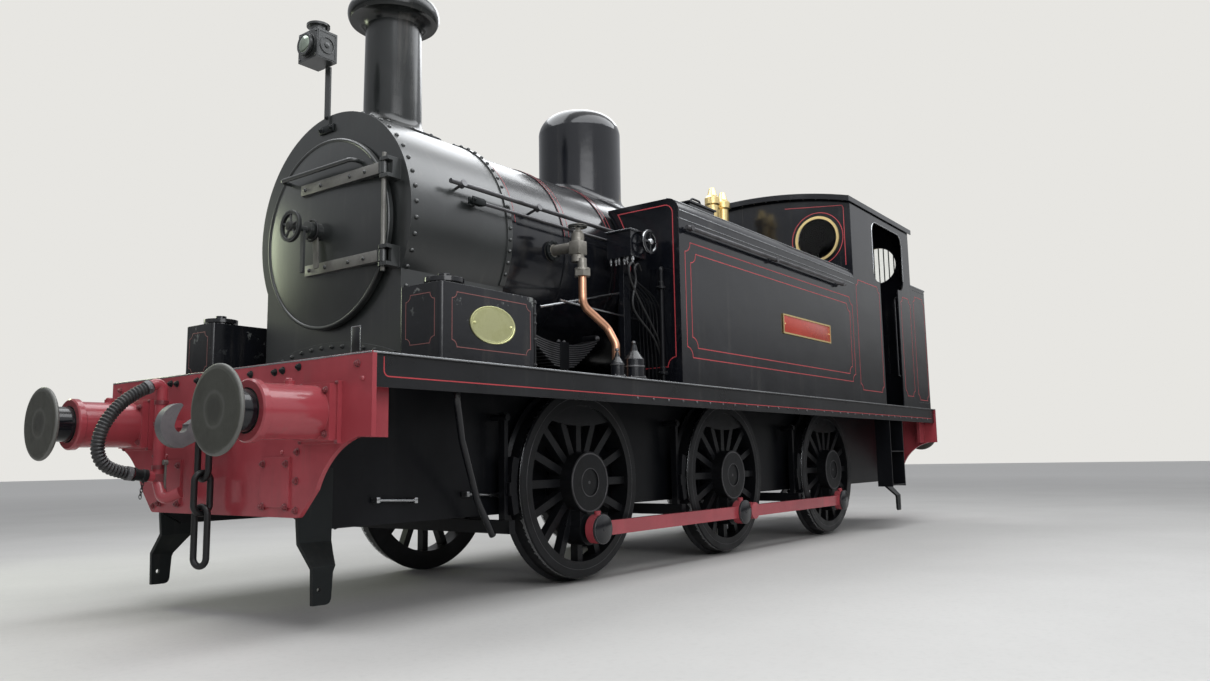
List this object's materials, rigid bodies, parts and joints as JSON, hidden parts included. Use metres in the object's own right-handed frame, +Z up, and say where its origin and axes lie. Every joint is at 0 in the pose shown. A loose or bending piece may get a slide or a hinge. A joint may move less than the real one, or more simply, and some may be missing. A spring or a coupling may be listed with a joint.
{
  "type": "steam tank locomotive",
  "caption": "Six-coupled steam side-tank locomotive with inside cylinders, turning wheels with coupling rods, opening smokebox door and tank lids.",
  "frame": {"origin": "on the floor under the middle of the engine, level with the bottoms of the wheel flanges", "axes": "+X forward towards the smokebox, +Y to the engine's left, +Z up"},
  "size_m": [9.686, 2.5968, 3.9778],
  "materials": {
    "black_paint": "worn satin black enamel on frames and footplate",
    "smokebox_black": "matte dark grey heat-resisting paint",
    "gloss_black": "polished black enamel with thin red lining",
    "red_paint": "gloss crimson enamel",
    "buffer_steel": "dull oiled steel",
    "hook_steel": "bare forged steel",
    "chain_iron": "dark oily iron",
    "guard_black": "dull black paint",
    "wheel_iron": "oily black cast iron and steel tyres",
    "bright_steel": "polished steel",
    "brass": "polished brass",
    "copper": "copper tube with a dull warm shine",
    "glass": "clear glass",
    "hose_rubber": "ribbed black rubber",
    "cab_cream": "dark paint on the boiler end"
  },
  "bodies": {
    "engine": {"frame_left": "black_paint", "frame_right": "black_paint", "frame_stays": "black_paint", "cylinder_block": "black_paint", "buffer_beam_front": "red_paint", "buffer_beam_rear": "red_paint", "buffer_housings_front": "red_paint", "buffer_housings_rear": "red_paint", "buffer_heads_front": "buffer_steel", "buffer_heads_rear": "buffer_steel", "drawhook_front": "hook_steel", "drawhook_rear": "hook_steel", "coupling_chain_front": "chain_iron", "coupling_chain_rear": "chain_iron", "guard_irons_front": "guard_black", "guard_irons_rear": "guard_black", "brake_pipes": "red_paint", "brake_hose_front": "hose_rubber", "footplate_front": "black_paint", "footplate_rear": "black_paint", "cab_steps": "black_paint", "running_board_left": "black_paint", "running_board_right": "black_paint", "smokebox": "smokebox_black", "chimney": "smokebox_black", "boiler": "gloss_black", "dome": "gloss_black", "safety_valves": "brass", "tank_left": "gloss_black", "tank_right": "gloss_black", "sandbox_left": "gloss_black", "sandbox_right": "gloss_black", "cab_front": "gloss_black", "cab_back": "gloss_black", "cab_side_left": "gloss_black", "cab_side_right": "gloss_black", "cab_roof": "gloss_black", "window_rims": "brass", "window_glass": "glass", "bunker": "gloss_black", "backhead": "cab_cream", "cab_controls": "bright_steel", "springs": "black_paint", "brake_gear": "black_paint", "handrails": "bright_steel", "head_lamp": "smokebox_black", "lubricator": "black_paint", "feed_valves": "black_paint", "feed_pipes": "copper"},
    "front_wheelset": {"wheelset_front": "wheel_iron"},
    "middle_wheelset": {"wheelset_middle": "wheel_iron"},
    "rear_wheelset": {"wheelset_rear": "wheel_iron"},
    "left_rod": {"coupling_rod_left": "red_paint"},
    "right_rod": {"coupling_rod_right": "red_paint"},
    "door": {"smokebox_door": "smokebox_black"},
    "left_lid": {"tank_lid_left": "gloss_black"},
    "right_lid": {"tank_lid_right": "gloss_black"}
  },
  "joints": [
    {"name": "front_wheel_spin", "type": "hinge", "parent": "engine", "child": "front_wheelset", "pos_m": [2.14, 0, 0.656], "axis": [0, 1, 0], "continuous": true},
    {"name": "middle_wheel_spin", "type": "hinge", "parent": "engine", "child": "middle_wheelset", "pos_m": [0.16, 0, 0.656], "axis": [0, 1, 0], "continuous": true},
    {"name": "rear_wheel_spin", "type": "hinge", "parent": "engine", "child": "rear_wheelset", "pos_m": [-1.97, 0, 0.656], "axis": [0, 1, 0], "continuous": true},
    {"name": "left_rod_swing", "type": "hinge", "parent": "front_wheelset", "child": "left_rod", "pos_m": [2.14, 0.936, 0.351], "axis": [0, 1, 0], "continuous": true},
    {"name": "right_rod_swing", "type": "hinge", "parent": "front_wheelset", "child": "right_rod", "pos_m": [2.445, -0.936, 0.656], "axis": [0, 1, 0], "continuous": true},
    {"name": "smokebox_door_hinge", "type": "hinge", "parent": "engine", "child": "door", "pos_m": [3.674, 0.585, 2.248], "axis": [0, 0, 1], "range_deg": [0, 140]},
    {"name": "left_lid_hinge", "type": "hinge", "parent": "engine", "child": "left_lid", "pos_m": [0.93, 0.775, 2.778], "axis": [1, 0, 0], "range_deg": [0, 100]},
    {"name": "right_lid_hinge", "type": "hinge", "parent": "engine", "child": "right_lid", "pos_m": [0.93, -0.775, 2.778], "axis": [-1, 0, 0], "range_deg": [0, 100]}
  ],
  "couplings": [
    {"joint": "middle_wheel_spin", "follows": "front_wheel_spin", "ratio": 1},
    {"joint": "rear_wheel_spin", "follows": "front_wheel_spin", "ratio": 1},
    {"joint": "left_rod_swing", "follows": "front_wheel_spin", "ratio": -1},
    {"joint": "right_rod_swing", "follows": "front_wheel_spin", "ratio": -1}
  ]
}
